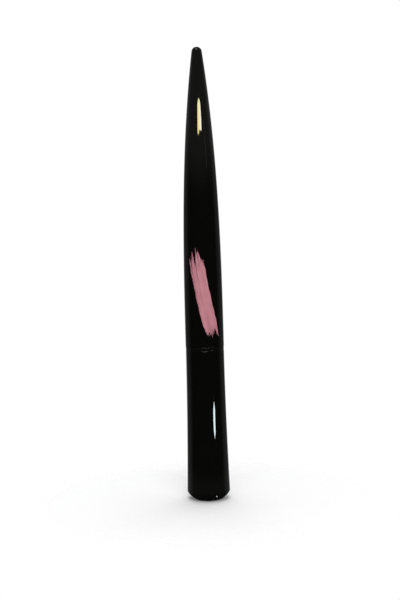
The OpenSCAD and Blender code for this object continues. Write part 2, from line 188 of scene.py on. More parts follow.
class PEN_PG_stroke(bpy.types.PropertyGroup):
    """Sizes of the printed brush stroke."""

    middle: mm("Height of the stroke's middle", 63.93)
    length: mm("Length of the stroke", 28)
    width: mm("Width of the stroke", 4.3)
    thickness: mm("Thickness of the print", 0.045)
    tilt: turn("Slant from the barrel's axis", math.radians(10.5))
    bow: mm("How far the stroke's middle bends aside", 0.5)
    ragged: ratio("Share of the length that the ragged ends take", 0.19, max=1)
    dryness: ratio("How much of the barrel the dry streaks bare", 0.8, max=1)
    columns: count("Faces across the stroke", 96)
    rows: count("Faces along the stroke", 190)
    seed: ratio("Picks the pattern of the streaks", 7.0)


class PEN_PG_brush(bpy.types.PropertyGroup):
    """Sizes of the bristles."""

    tip_height: length("Height of the brush's point", low("brush_tuft").z)
    top_height: length("Height of the fused butt's end", high("brush_tuft").z)
    free_length: mm("Length that stands out of the nose", 9.5)
    radius: mm("Radius of the bundle", 1.1)
    butt_radius: mm("Radius of the fused butt", 1.45)
    butt_thickness: mm("Thickness of the fused butt", 0.8)
    butt_edge: mm("Radius of the fused butt's edges", 0.08)
    hair_radius: mm("Radius of one bristle", 0.045)
    point_power: ratio("How late the bristles draw to their point", 1.7)
    uneven: ratio("How much earlier the outer bristles end", 0.2, max=1)
    hairs: count("Number of bristles", 420)
    steps: count("Points along a bristle", 20)
    sides: count("Faces round a bristle", 5)
    segments: count("Faces round the fused butt", 64)
    seed: count("Picks the bristles' ends", 4, min=0)


class PEN_PG_spring(bpy.types.PropertyGroup):
    """Sizes of the inner cap's spring."""

    base_height: length("Lowest point of the wire", low("inner_cap_spring").z)
    top_height: length("Highest point of the wire", high("inner_cap_spring").z)
    radius: length("Outer radius of the coil", high("inner_cap_spring").x)
    wire_radius: mm("Radius of the wire", 0.225)
    turns: count("Number of curls", 6, min=1)
    points: count("Points along one curl", 40)
    sides: count("Faces round the wire", 12)
    seat_height: mm("Height of the liner's floor that it stands on", 4.23)


class PEN_PG_finish(bpy.types.PropertyGroup):
    """Colours of the finishes."""

    shell: colour("Glossy cap and barrel", 6, 6, 5)
    section: colour("Front section", 8, 8, 8)
    liner: colour("Liner in the cap", 43, 43, 45)
    white: colour("Inner cap and brush collar", 228, 226, 220)
    rubber: colour("Seals", 52, 52, 54)
    steel: colour("Spring and balls", 205, 205, 208)
    bristle: colour("Bristles", 38, 34, 34)
    comb: colour("Collector", 204, 200, 190)
    fibre: colour("Feed rod", 232, 226, 212)
    tank: colour("Ink tank", 238, 241, 243)
    plug: colour("Plugs of the tank", 140, 143, 148)
    stroke: colour("Middle tone of the print", 185, 120, 131)
    light_stroke: colour("Lightest streaks of the print", 208, 147, 156)
    dark_stroke: colour("Darkest streaks of the print", 160, 98, 108)
    dust: colour("Dust on the gloss", 150, 148, 144)


class PEN_PG_studio(bpy.types.PropertyGroup):
    """Camera and light."""

    camera_distance: mm("From the camera to the pen's axis", 258.9)
    camera_height: mm("Height of the camera", 64.6)
    pitch: turn("How far the camera looks down", math.radians(0.65))
    yaw: turn("How far the camera looks to the left", math.radians(0.242))
    roll: turn("How far the camera leans to the right", math.radians(1.606))
    focal_length: ratio("In millimetres on a 36 mm film", 50.0)
    floor_radius: mm("Where the floor has faded out", 62)
    floor_fade: mm("Where the floor starts to fade", 24)
    ambient: ratio("Light from all round on matt surfaces", 0.52)
    top_light: ratio("Brightness of the softboxes overhead", 4.0)
    front_light: ratio("Brightness of the soft light in front", 5.0)


GROUPS = {
    kind.__name__.replace("PEN_PG_", "pen_"): kind for kind in (
        PEN_PG_barrel, PEN_PG_cap, PEN_PG_section, PEN_PG_stroke, PEN_PG_brush,
        PEN_PG_spring, PEN_PG_finish, PEN_PG_studio)}

# A property's name is its key in plain words
for group in GROUPS.values():
    for key, prepared in group.__annotations__.items():
        group.__annotations__[key] = prepared(name=words(key))


# Node trees

def sum_of(operation, swapped=False):
    """A method of Wire that adds one Math node."""
    def method(self, other):
        pair = (other, self) if swapped else (self, other)
        return self.net.math(operation, *pair)
    return method


class Wire:
    """What a node puts out. Sums and comparisons with it add Math nodes."""

    def __init__(self, net, socket):
        self.net, self.socket = net, socket

    def math(self, operation, *others):
        return self.net.math(operation, self, *others)

    __add__, __radd__ = sum_of("ADD"), sum_of("ADD", True)
    __sub__, __rsub__ = sum_of("SUBTRACT"), sum_of("SUBTRACT", True)
    __mul__, __rmul__ = sum_of("MULTIPLY"), sum_of("MULTIPLY", True)
    __truediv__, __pow__ = sum_of("DIVIDE"), sum_of("POWER")
    __lt__, __gt__ = sum_of("LESS_THAN"), sum_of("GREATER_THAN")


class Net:
    """Adds nodes to a tree. An input is given as a value, or as the wire that feeds it.

    Inputs are named with a capital, and a node's own settings without one."""

    def __init__(self, tree):
        self.tree = tree

    def put(self, socket, value):
        if isinstance(value, Wire):
            self.tree.links.new(value.socket, socket)
        else:
            socket.default_value = value

    def node(self, kind, *inputs, **named):
        node = self.tree.nodes.new(kind)
        row, column = divmod(len(self.tree.nodes), NODES_IN_A_ROW)
        node.location = (NODE_WIDTH * column, -NODE_HEIGHT * row)
        for key, value in named.items():
            if key.islower():
                setattr(node, key, value)
        for key, value in enumerate(inputs):
            self.put(node.inputs[key], value)
        for key, value in named.items():
            if not key.islower():
                self.put(node.inputs[key.replace("_", " ")], value)
        return node

    def wire(self, kind, *inputs, out=0, family="ShaderNode", **named):
        """Adds a node, named by the end of its kind, and gives one of its outputs."""
        return Wire(self, self.node(family + kind, *inputs, **named).outputs[out])

    def wires(self, kind, *inputs, **named):
        """Adds a node and gives all its outputs."""
        return [Wire(self, socket) for socket in self.node(kind, *inputs, **named).outputs]

    def shape(self, kind, *inputs, **named):
        return self.wire(kind, *inputs, family="GeometryNode", **named)

    def math(self, operation, *values):
        return self.wire("Math", *values, operation=operation)

    def xyz(self, x, y, z):
        return self.wire("CombineXYZ", x, y, z)

    def parts(self, vector):
        return self.wires("ShaderNodeSeparateXYZ", vector)

    def attribute(self, name):
        return self.wire("Attribute", out="Fac", attribute_name=name)

    def place(self, stretch=1.0, rotation=(0.0, 0.0, 0.0)):
        """Where on the object a point is. A stretch under 1 draws patterns out along the pen."""
        point = self.wire("TexCoord", out="Object")
        if stretch == 1.0:
            return point
        return self.wire("Mapping", point, Rotation=rotation, Scale=(1.0, 1.0, stretch))

    def ramp(self, value, start, end, low_value=0.0, high_value=1.0):
        """Goes smoothly from one value to another as value goes from start to end."""
        return self.wire(
            "MapRange", Value=value, From_Min=start, From_Max=end, To_Min=low_value,
            To_Max=high_value, interpolation_type="SMOOTHSTEP")

    def noise(self, vector, scale, detail=2.0, rough=0.5):
        return self.wire("TexNoise", Vector=vector, Scale=scale, Detail=detail, Roughness=rough)

    def mix(self, factor, first, second):
        """Mixes two colours."""
        node = self.node("ShaderNodeMix", data_type="RGBA")
        for index, value in ((0, factor), (6, solid(first)), (7, solid(second))):
            self.put(node.inputs[index], value)
        return Wire(self, node.outputs[2])

    def joined(self, *pieces):
        node = self.node("GeometryNodeJoinGeometry")
        for piece in pieces:
            self.put(node.inputs[0], piece)
        return Wire(self, node.outputs[0])

    def moved(self, geometry, x, y, z):
        """Puts the points of a geometry where x, y and z say."""
        return self.shape("SetPosition", Geometry=geometry, Position=self.xyz(x, y, z))


def solid(value):
    """A colour of three numbers as one of four; a wire as it is."""
    return value if isinstance(value, Wire) else (*value, 1.0)


def shaded(base, share):
    """A colour made darker, or lighter where the share is over 1."""
    return [part * share for part in base]


def drawn_tree(draw, kind, values):
    """A node group named after draw(net, size), which gives its outputs by name.

    size has a wire for each value. An input that draw doesn't use is left out."""
    tree = bpy.data.node_groups.new(words(draw.__name__), kind)
    net, face = Net(tree), tree.interface
    for key, value in values.items():
        shape = INPUTS[type(value)]
        socket = face.new_socket(words(key), in_out="INPUT", socket_type=shape)
        if isinstance(value, (int, float)):
            socket.default_value = value
    source = net.node("NodeGroupInput").outputs
    results = draw(net, SimpleNamespace(**{
        key: Wire(net, source[words(key)]) for key in values}))
    for label in [socket.name for socket in source if socket.name and not socket.is_linked]:
        face.remove(face.items_tree[label])
    for label in results:
        face.new_socket(label, in_out="OUTPUT", socket_type=OUTPUTS[kind])
    sink = net.node("NodeGroupOutput").inputs
    for label, wire in results.items():
        net.put(sink[label], wire)
    return tree


def line_along(net, points, place):
    """A curve whose points follow place(share), which gives radius and height."""
    line = net.shape("ResampleCurve", Curve=net.shape("CurvePrimitiveLine"), Count=points)
    radius, height = place(net.shape("SplineParameter"))
    return net.moved(line, radius, 0.0, height)


def arc_line(net, centre, size, start, end, points):
    """A quarter or less of an ellipse, in profile."""
    def place(share):
        angle = start + (end - start) * share
        return (centre[0] + size[0] * angle.math("COSINE"),
                centre[1] + size[1] * angle.math("SINE"))
    return line_along(net, points, place)


def turned(net, size, *lines):
    """Turns the object's own profile and these lines about Z and welds them.

    The lines go up outside and down inside."""
    joined = net.joined(net.shape("MeshToCurve", Mesh=size.profile), *lines)
    radius, _, height = net.parts(net.shape("InputPosition"))
    line = net.moved(joined, radius - SWEEP_RADIUS, 0.0 - height, 0.0)
    ring = net.shape("CurvePrimitiveCircle", Resolution=size.segments, Radius=SWEEP_RADIUS)
    skin = net.shape("CurveToMesh", Curve=ring, Profile_Curve=line)
    skin = net.shape("FlipFaces", Mesh=skin)
    return net.shape("MergeByDistance", Geometry=skin, Distance=WELD)


def round_wire(net, path, sides, radius, thickness=1.0):
    """A round wire along a path, closed at its ends."""
    ring = net.shape("CurvePrimitiveCircle", Resolution=sides, Radius=radius)
    return net.shape("CurveToMesh", path, ring, thickness, True)


def finished(net, size, skin, sharp=32):
    """Shades a mesh smooth but for edges sharper than that, and gives it its material."""
    skin = net.shape("SetShadeSmooth", Geometry=skin)
    soft = net.shape("InputMeshEdgeAngle") < math.radians(sharp)
    skin = net.shape("SetShadeSmooth", skin, True, soft, domain="EDGE")
    skin = net.shape("RealizeInstances", Geometry=skin)
    return {"Shape": net.shape("SetMaterial", Geometry=skin, Material=size.finish)}


def sizes_of(group):
    """The sizes of a group, to which an operator adds those that it works out."""
    size = getattr(bpy.context.scene, group)
    return SimpleNamespace(**{key: getattr(size, key) for key in size.__annotations__})


def added(name, data):
    """A new object in the scene."""
    made = bpy.data.objects.new(name, data)
    bpy.context.scene.collection.objects.link(made)
    return made


def plain_mesh(name, points, edges, faces, *materials):
    mesh = bpy.data.meshes.new(name)
    mesh.from_pydata(points, edges, faces)
    for material in materials:
        mesh.materials.append(material)
    return mesh


def made_by(draw, size, finish, name, body, node, profile=()):
    """Makes a piece as a plain mesh with a geometry tree, on an object that holds the profile.

    Parents it to the body that it rides on, and hides the CAD node that it replaces; the tree
    gives it its material."""
    points, edges = [], []
    for line in profile:
        edges += [(len(points) + i, len(points) + i + 1) for i in range(len(line) - 1)]
        points += [(radius, 0, height) for radius, height in line]
    drawn = plain_mesh(name, points, edges, [])
    piece = added(name, drawn)
    modifier = piece.modifiers.new(name, "NODES")
    values = {"profile": drawn, **vars(size), "finish": finish}
    modifier.node_group = drawn_tree(draw, "GeometryNodeTree", values)
    for key, value in values.items():
        item = modifier.node_group.interface.items_tree.get(words(key))
        if item and value != drawn:
            modifier[item.identifier] = value
    depsgraph = bpy.context.evaluated_depsgraph_get()
    made = bpy.data.meshes.new_from_object(piece.evaluated_get(depsgraph), depsgraph=depsgraph)
    piece.modifiers.clear()
    piece.data = made
    bpy.data.meshes.remove(drawn)
    made.name = name
    if not made.polygons:
        raise RuntimeError(f"the node tree of {name} made no faces")
    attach(piece, body)
    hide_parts(node)
    return piece


def rounded(corners, steps):
    """Points of a line through corners of (radius, height, round), each in that many steps."""
    points = []
    for index, (x, z, size) in enumerate(corners):
        if not size:
            points.append((x, z))
            continue
        here = Vector((x, z))
        before = (Vector(corners[index - 1][:2]) - here).normalized()
        after = (Vector(corners[index + 1][:2]) - here).normalized()
        half = before.angle(after) / 2
        centre = here + (before + after).normalized() * size / math.sin(half)
        start = here + before * size / math.tan(half) - centre
        sweep = start.angle_signed(here + after * size / math.tan(half) - centre)
        for step in range(steps + 1):
            spoke = start.copy()
            spoke.rotate(Matrix.Rotation(-sweep * step / steps, 2))
            points.append(tuple(centre + spoke))
    return points


# Finishes

def dust_specks(net, size):
    """Sparse specks of dust: cells of which a share holds one small round speck."""
    away, hue, *_ = net.wires("ShaderNodeTexVoronoi", Vector=net.place(), Scale=size.cells)
    lot, other_lot, _ = net.parts(hue)
    speck = net.ramp(away, 0.0, size.speck * (other_lot * 0.8 + 0.4), 1.0, 0.0)
    return {"Mask": (lot < size.share) * speck}


def hairline_scratches(net, size):
    """Fine scratches that run mostly along the pen, in two directions that cross."""
    marks = []
    for tilt in (0.18, -0.31):
        drawn = net.place(0.035, (tilt, 0.4 * tilt, 0.0))
        waves = net.noise(drawn, size.fineness, 1.0)
        marks.append(net.ramp(waves, size.sharpness, size.sharpness + 0.06))
    patches = net.ramp(net.noise(net.place(), 160.0), 0.42, 0.62)
    return {"Mask": marks[0].math("MAXIMUM", marks[1]) * patches}


def moulded_grain(net, size):
    """The fine uneven skin of moulded plastic, as a height and as a slow change of tone."""
    fine = net.noise(net.place(), size.grain, 3.0)
    slow = net.noise(net.place(), size.grain / 24.0, 2.0)
    return {"Height": fine * 0.7 + slow * 0.3, "Tone": slow}


class Finish(Net):
    """A material in the making, round one Principled shader."""

    def __init__(self, name, **constants):
        self.material = bpy.data.materials.new(name)
        self.material.use_nodes = True
        super().__init__(self.material.node_tree)
        self.set(**constants)

    def set(self, **values):
        shader = self.tree.nodes["Principled BSDF"]
        for key, value in values.items():
            self.put(shader.inputs[key.replace("_", " ")], value)

    def shared(self, draw, **values):
        """The outputs of an effect that finishes share, drawn when it is first used."""
        tree = (bpy.data.node_groups.get(words(draw.__name__))
                or drawn_tree(draw, "ShaderNodeTree", values))
        values = {words(key): value for key, value in values.items()}
        return self.wires("ShaderNodeGroup", node_tree=tree, **values)

    def done(self, base, rough, height, depth, strength=1.0):
        """Sets the colour, the roughness and the relief, and gives the material."""
        relief = self.wire("Bump", Strength=strength, Distance=depth, Height=height)
        self.set(Base_Color=base, Roughness=rough, Normal=relief)
        return self.material


def colours():
    return bpy.context.scene.pen_finish


def gloss_finish(name, base):
    """Polished black moulded plastic, clean but for a little dust and handling."""
    made = Finish(name, IOR=1.5)
    [dust] = made.shared(dust_specks, cells=620.0, share=0.07, speck=0.07)
    [scratches] = made.shared(hairline_scratches, fineness=2600.0, sharpness=0.66)
    polish, most_smear = 0.02, 0.014
    smear = made.ramp(made.noise(made.place(), 55.0), 0.35, 0.75, 0.0, most_smear)
    ripple = made.noise(made.place(), 240.0, 1.0)
    return made.done(
        base=made.mix(dust * 0.25, base, colours().dust),
        rough=smear + polish + scratches * 0.02 + dust * 0.3,
        height=ripple + scratches * -0.03, depth=0.0008 * MM)


def moulded_finish(name, base, rough, grain=5000.0, depth=0.004 * MM):
    """Satin moulded plastic or rubber, with its fine skin and a slow change of tone."""
    made = Finish(name)
    height, change = made.shared(moulded_grain, grain=grain)
    [scratches] = made.shared(hairline_scratches, fineness=1900.0, sharpness=0.66)
    shade = made.ramp(change, 0.3, 0.7)
    return made.done(
        base=made.mix(shade * 0.4, base, shaded(base, 0.85)),
        rough=shade * 0.08 + rough + scratches * 0.1, height=height, depth=depth)


def steel_finish(name, base, rough, mark_length, depth):
    """Steel: wire with marks across it, or a polished ball."""
    made = Finish(name, Metallic=1.0)
    marks = made.noise(made.place(mark_length), 3200.0, 3.0)
    film = made.ramp(made.noise(made.place(), 420.0), 0.4, 0.7)
    return made.done(
        base=made.mix(film * 0.35, base, shaded(base, 0.72)),
        rough=marks * 0.12 + rough + film * 0.06, height=marks, depth=depth)


def bristle_finish():
    """Soft dark filament: streaks along the hair, and a faint stain of ink by the point."""
    made = Finish("Bristle", Sheen_Weight=0.25, Sheen_Roughness=0.4, IOR=1.52)
    streaks = made.noise(made.place(0.06), 9000.0, 2.0)
    size, base, ink = bpy.context.scene.pen_brush, colours().bristle, (0.004, 0.004, 0.005)
    stain_end = size.tip_height + size.free_length * 0.6
    stain = made.ramp(made.parts(made.place())[2], size.tip_height, stain_end, 0.75, 0.0)
    return made.done(
        base=made.mix(stain, made.mix(streaks, base, shaded(base, 2.2)), ink),
        rough=made.ramp(streaks, 0.3, 0.7, 0.32, 0.5), height=streaks, depth=0.004 * MM)


def fibre_finish():
    """A rod of pressed fibres: fine strands along it."""
    made, base = Finish("Feed fibre"), colours().fibre
    strands = made.noise(made.place(0.03), 7000.0, 3.0, 0.6)
    return made.done(
        base=made.mix(made.ramp(strands, 0.3, 0.7), shaded(base, 0.62), base),
        rough=0.9, height=strands, depth=0.02 * MM)


def tank_finish():
    """Milky see-through plastic with faint flow marks."""
    made, base = Finish("Tank plastic", IOR=1.49, Transmission_Weight=0.85), colours().tank
    height, _ = made.shared(moulded_grain, grain=2600.0)
    flow = made.ramp(made.noise(made.place(0.15), 700.0), 0.35, 0.7)
    return made.done(
        base=made.mix(flow * 0.4, base, shaded(base, 0.9)),
        rough=flow * 0.06 + 0.08, height=height, depth=0.002 * MM)


def stroke_finish():
    """Satin ink laid on with a dry brush: streaks along it, thinner towards its ends."""
    made, tones = Finish("Brush stroke print", IOR=1.45), colours()
    along, across = made.attribute("along"), made.attribute("across")
    broad = made.noise(made.xyz(across * 7.0, along * 1.3, 0.4), 1.0, 3.0, 0.6)
    fine = made.noise(made.xyz(across * 34.0, along * 2.6, 2.2), 1.0, 3.0, 0.6)
    cloud = made.noise(made.place(), 330.0, 3.0)
    streaks = broad * 0.42 + fine * 0.34 + cloud * 0.24
    base = made.mix(made.ramp(streaks, 0.36, 0.5), tones.dark_stroke, tones.stroke)
    base = made.mix(made.ramp(streaks, 0.52, 0.68), base, tones.light_stroke)
    ends = made.ramp((along - 0.5).math("ABSOLUTE"), 0.34, 0.5, 0.0, 0.3)
    thin = made.ramp(fine, 0.42, 0.6, 1.0, 0.25) * ends
    return made.done(
        base=made.mix(thin, base, tones.shell), rough=made.ramp(fine, 0.3, 0.7, 0.36, 0.52),
        height=fine * 0.7 + cloud * 0.3, depth=0.02 * MM, strength=0.6)


# Pieces

def barrel_sizes():
    """The barrel's sizes, with the angle where its tail starts and its taper's length."""
    size = sizes_of("pen_barrel")
    free = size.tail_height - size.mouth_height
    slope = ((size.mouth_radius - size.tail_radius) * size.taper_power
             / (free - size.tail_round))
    size.tail_start = math.atan(slope * size.tail_round / size.tail_radius)
    size.taper_length = free - size.tail_round * (1 - math.sin(size.tail_start))
    return size


def taper_radius(height, size):
    """Radius of the barrel at a height: a number, or a wire if the sizes are wires."""
    rise = height - size.mouth_height
    rise = rise.math("MAXIMUM", 0.0) if isinstance(rise, Wire) else max(0, rise)
    drop = size.mouth_radius - size.tail_radius
    return size.mouth_radius - drop * (rise / size.taper_length) ** size.taper_power


def barrel_shell(net, size):
    """The barrel's lip, taper, rounded tail and hollow."""
    lip_foot = size.mouth_height + size.lip_round

    def tapered(start, end, inward=0.0):
        def place(share):
            height = start + (end - start) * share
            return taper_radius(height, size) - inward, height
        return line_along(net, size.rings, place)

    lip_centre = (size.mouth_radius - size.lip_round, lip_foot)
    tail_centre = (0.0, size.tail_height - size.tail_round)
    tail_size = (size.tail_radius / size.tail_start.math("COSINE"), size.tail_round)
    return finished(net, size, turned(
        net, size,
        arc_line(net, lip_centre, [size.lip_round] * 2, -QUARTER, 0.0, LIP_POINTS),
        tapered(lip_foot, size.mouth_height + size.taper_length),
        arc_line(net, tail_centre, tail_size, size.tail_start, QUARTER, TAIL_POINTS),
        tapered(size.hollow_top, size.ledge_height, size.rear_wall)))


class PEN_OT_barrel(bpy.types.Operator):
    """Make the barrel's glossy shell from its taper"""

    bl_idname = "eyeliner_pen.barrel"
    bl_label = "Barrel"

    def execute(self, context):
        size = barrel_sizes()
        size.rear_wall = size.wall + size.ledge
        size.hollow_top = size.tail_height - size.solid_tail
        hollow_radius = taper_radius(size.hollow_top, size) - size.rear_wall
        ledge_radius = taper_radius(size.ledge_height, size)
        bore = ledge_radius - size.wall
        bottom = [
            (ledge_radius - size.rear_wall, size.ledge_height), (bore, size.ledge_height),
            (bore, size.mouth_height), (size.mouth_radius - size.lip_round, size.mouth_height)]
        top = [(0, size.hollow_top + hollow_radius / 2), (hollow_radius, size.hollow_top)]
        made_by(
            barrel_shell, size, gloss_finish("Barrel gloss", colours().shell),
            "barrel_shell", "pen", "barrel", [bottom, top])
        return {"FINISHED"}


def cap_shell(net, size):
    """The cap's rounded base, flare and lip."""
    mouth_radius = size.base_radius - size.flare
    base_top = size.base_height + size.base_rise
    lip_foot = size.mouth_height - size.lip_round

    def bevelled(share):
        angle = share * QUARTER
        inward = 1.0 - angle.math("SINE") ** size.base_power
        down = angle.math("COSINE").math("MAXIMUM", 0.0) ** size.base_power
        return size.base_radius - size.base_round * inward, base_top - size.base_rise * down

    def flared(share):
        height = base_top + (lip_foot - base_top) * share
        drop = (size.mouth_height - height) / (size.mouth_height - base_top)
        return mouth_radius + size.flare * drop ** size.flare_power, height

    lip_centre = (mouth_radius - size.lip_round, lip_foot)
    return finished(net, size, turned(
        net, size,
        line_along(net, BASE_POINTS, bevelled),
        line_along(net, size.rings, flared),
        arc_line(net, lip_centre, [size.lip_round] * 2, 0.0, QUARTER, LIP_POINTS)))


class PEN_OT_cap_shell(bpy.types.Operator):
    """Make the cap's glossy shell from its flare"""

    bl_idname = "eyeliner_pen.cap_shell"
    bl_label = "Cap shell"

    def execute(self, context):
        size = sizes_of("pen_cap")
        mouth_radius = size.base_radius - size.flare
        bore = mouth_radius - size.wall
        floor = size.base_height + size.floor
        inside = [
            (mouth_radius - size.lip_round, size.mouth_height),
            (bore, size.mouth_height), (bore, floor), (0, floor)]
        under = [(0, size.base_height),
                 (size.base_radius - size.base_round, size.base_height)]
        made_by(
            cap_shell, size, gloss_finish("Cap gloss", colours().shell),
            "cap_outer_shell", "cap", "cap_shell", [inside, under])
        return {"FINISHED"}


def turned_piece(net, size):
    """The object's own profile, turned."""
    return finished(net, size, turned(net, size))


def section_profile(size):
    """The closed line of the front section: outside going up, inside going down."""
    edge, step = size.soft_edge, size.collar_round
    nose, top = size.nose_height, size.top_height
    neck = nose + size.nose_length
    shoulder = neck + size.neck_length
    collar = shoulder + size.body_length
    collar_top = collar + size.collar_length
    chamber = shoulder + size.floor
    lip = nose + size.lip_depth
    reach = math.acos(1 - size.bead_out / size.bead_radius)
    bead = [
        (size.body_radius + size.bead_out - size.bead_radius * (1 - math.cos(angle)),
         size.bead_height + size.bead_radius * math.sin(angle), 0)
        for angle in (reach * share / 4 for share in range(-4, 5))]
    points = rounded([
        (size.lip_radius, nose, edge / 2),
        (size.tip_radius, nose, edge),
        (size.neck_radius, neck, edge),
        (size.neck_radius, shoulder, 0),
        (size.body_radius, shoulder, edge),
        *bead,
        (size.body_radius, collar, 0),
        (size.collar_radius, collar, step),
        (size.collar_radius, collar_top, step),
        (size.sleeve_radius, collar_top, 0),
        (size.sleeve_radius, top, edge),
        (size.chamber_radius, top, 0),
        (size.chamber_radius, chamber, 0),
        (size.bore_radius, chamber, 0),
        (size.bore_radius, lip, 0),
        (size.lip_radius, lip, 0)], steps=8)
    return points + points[:1]


class PEN_OT_front_section(bpy.types.Operator):
    """Make the front section, whose collar shows between cap and barrel"""

    bl_idname = "eyeliner_pen.front_section"
    bl_label = "Front section"

    def execute(self, context):
        size = sizes_of("pen_section")
        made_by(
            turned_piece, size, gloss_finish("Section gloss", colours().section),
            "front_section_turned", "pen", "front_section",
            [section_profile(size)])
        return {"FINISHED"}


def brush_stroke(net, size):
    """A thin sheet on the barrel, ragged at its ends and streaked where the brush was dry."""
    sheet = net.shape(
        "MeshGrid", Size_X=1.0, Size_Y=1.0, Vertices_X=size.columns, Vertices_Y=size.rows)
    across, share, _ = net.parts(net.shape("InputPosition"))
    top, bottom = 0.52, -0.51  # the sheet's ends, in lengths of the stroke from its middle
    along = share * (top - bottom) + (top + bottom) / 2

    def streaks(fineness, place_along, shift, detail=2.0):
        place = net.xyz(across * fineness, place_along, size.seed + shift)
        return net.noise(place, 1.0, detail, 0.6)

    def teeth(*rows):
        """How far in an end is eaten, from (fineness, shift, detail, start, end, depth)."""
        first, second = (
            net.ramp(streaks(fineness, 0.0, shift, detail), start, end) * depth
            for fineness, shift, detail, start, end, depth in rows)
        return first + second

    top_teeth = teeth(
        (8.0, 0.3, 4.0, 0.3, 0.66, 0.8), (40.0, 3.3, 2.0, 0.35, 0.65, 0.35)) + across * 0.3
    low_teeth = teeth((6.0, 5.1, 4.0, 0.32, 0.68, 0.7), (34.0, 7.7, 2.0, 0.35, 0.65, 0.3))
    over_top = along + size.ragged * top_teeth - top
    under_bottom = size.ragged * 0.7 * low_teeth + bottom - along
    for name, number in (("across", across), ("along", along + 0.5)):
        sheet = net.shape("StoreNamedAttribute", Geometry=sheet, Name=name, Value=number)

    near_top = net.ramp(along, 0.06, 0.44) * (0.8 - across * 0.8)
    near_bottom = net.ramp(along, -0.28, -0.48) * (0.6 + across * 0.4)
    near_side = net.ramp(across.math("ABSOLUTE"), 0.34, 0.5)
    dry = near_top * 0.24 + near_bottom * 0.16 + near_side * 0.1
    bare = streaks(24.0, along * 2.2, 2.0) + dry * size.dryness
    gone = (bare > 0.73) + (over_top > 0.0) + (under_bottom > 0.0)
    sheet = net.shape("DeleteGeometry", Geometry=sheet, Selection=gone, domain="FACE")
    edges, faces = net.wires("GeometryNodeInputMeshVertexNeighbors")
    pinched = edges - faces > 1.5
    for _ in range(PINCH_ROUNDS):
        sheet = net.shape("DeleteGeometry", Geometry=sheet, Selection=pinched)

    wavy = (streaks(0.0, along * 11.0, 9.0, 3.0) - 0.5) * 0.22
    breadth = 1.0 + wavy - net.ramp(along.math("ABSOLUTE"), 0.3, 0.52) * 0.16
    u = across * size.width * breadth - size.bow * (1.0 - along * along * 4.0)
    v = along * size.length
    cosine, sine = size.tilt.math("COSINE"), size.tilt.math("SINE")
    x = u * cosine - v * sine + size.bow * 0.5
    height = size.middle + u * sine + v * cosine
    radius = taper_radius(height, size)
    depth = (radius * radius - x * x).math("SQRT")
    under = net.moved(sheet, x, 0.0 - depth, height)
    raised = net.shape("ExtrudeMesh", Mesh=under, Offset_Scale=size.thickness, Individual=False)
    both = net.joined(raised, net.shape("FlipFaces", Mesh=under))
    skin = net.shape("MergeByDistance", Geometry=both, Distance=WELD)
    return finished(net, size, skin, 50)


class PEN_OT_label_stroke(bpy.types.Operator):
    """Make the printed brush stroke, laid on the barrel's curve"""

    bl_idname = "eyeliner_pen.label_stroke"
    bl_label = "Printed stroke"

    def execute(self, context):
        size = SimpleNamespace(**vars(barrel_sizes()), **vars(sizes_of("pen_stroke")))
        made_by(
            brush_stroke, size, stroke_finish(),
            "label_stroke", "pen", "label_print")
        return {"FINISHED"}


def bristle_bundle(net, size):
    """Hairs that gather to a point, with their roots in the fused butt."""
    hairs = net.shape(
        "InstanceOnPoints", Points=net.shape("Points", Count=size.hairs),
        Instance=net.shape("MeshLine", Count=size.steps))
    hairs = net.shape("RealizeInstances", Geometry=hairs)
    index = net.shape("InputIndex")
    nudge = 0.001  # keeps a whole number from being rounded down to the one before
    hair = (index / size.steps + nudge).math("FLOOR")
    step = (index - hair * size.steps) / (size.steps - 1.0)
    share = (hair + 0.5) / size.hairs
    chance = net.wire(
        "RandomValue", ID=hair, Seed=size.seed, out=1, family="FunctionNode", data_type="FLOAT")
    foot = size.tip_height + size.uneven * share * (chance * 0.8 + 0.4) * size.free_length
    height = foot + (size.root_height - foot) * step
    drawn = ((height - size.tip_height) / size.free_length).math("MINIMUM", 1.0)
    spread = 1.0 - (1.0 - drawn) ** size.point_power
    angle = hair * GOLDEN_ANGLE + (1.0 - drawn) * (chance - 0.5) * 0.6
    radius = share.math("SQRT") * size.bundle_radius * spread
    hairs = net.moved(hairs, radius * angle.math("COSINE"), radius * angle.math("SINE"), height)
    path = net.shape("MeshToCurve", Mesh=hairs)
    fine = net.ramp(step, 0.0, 0.35, 0.3, 1.0)
    tubes = round_wire(net, path, size.sides, size.hair_radius, fine)
    return finished(net, size, net.joined(tubes, turned(net, size)), 40)


class PEN_OT_brush(bpy.types.Operator):
    """Make the bristles, drawn to a point and fused at their butt"""

    bl_idname = "eyeliner_pen.brush"
    bl_label = "Brush"

    def execute(self, context):
        size = sizes_of("pen_brush")
        butt_low = size.top_height - size.butt_thickness
        size.root_height = butt_low + size.butt_thickness / 2
        size.bundle_radius = size.radius - size.hair_radius
        butt = rounded([
            (0, butt_low, 0), (size.butt_radius, butt_low, size.butt_edge),
            (size.butt_radius, size.top_height, size.butt_edge),
            (0, size.top_height, 0)], steps=4)
        made_by(
            bristle_bundle, size, bristle_finish(),
            "brush_bristles", "pen", "brush_tuft", [butt])
        return {"FINISHED"}


def coil_spring(net, size):
    """Round wire along an even coil."""
    rise = size.top_height - size.base_height - size.wire_radius * 2.0
    path = net.shape(
        "CurveSpiral", Resolution=size.points, Rotations=size.turns,
        Start_Radius=size.coil_radius, End_Radius=size.coil_radius, Height=rise)
    lift = net.xyz(0.0, 0.0, size.base_height + size.wire_radius)
    path = net.shape("SetPosition", Geometry=path, Offset=lift)
    wire = round_wire(net, path, size.sides, size.wire_radius)
    return finished(net, size, wire, 50)


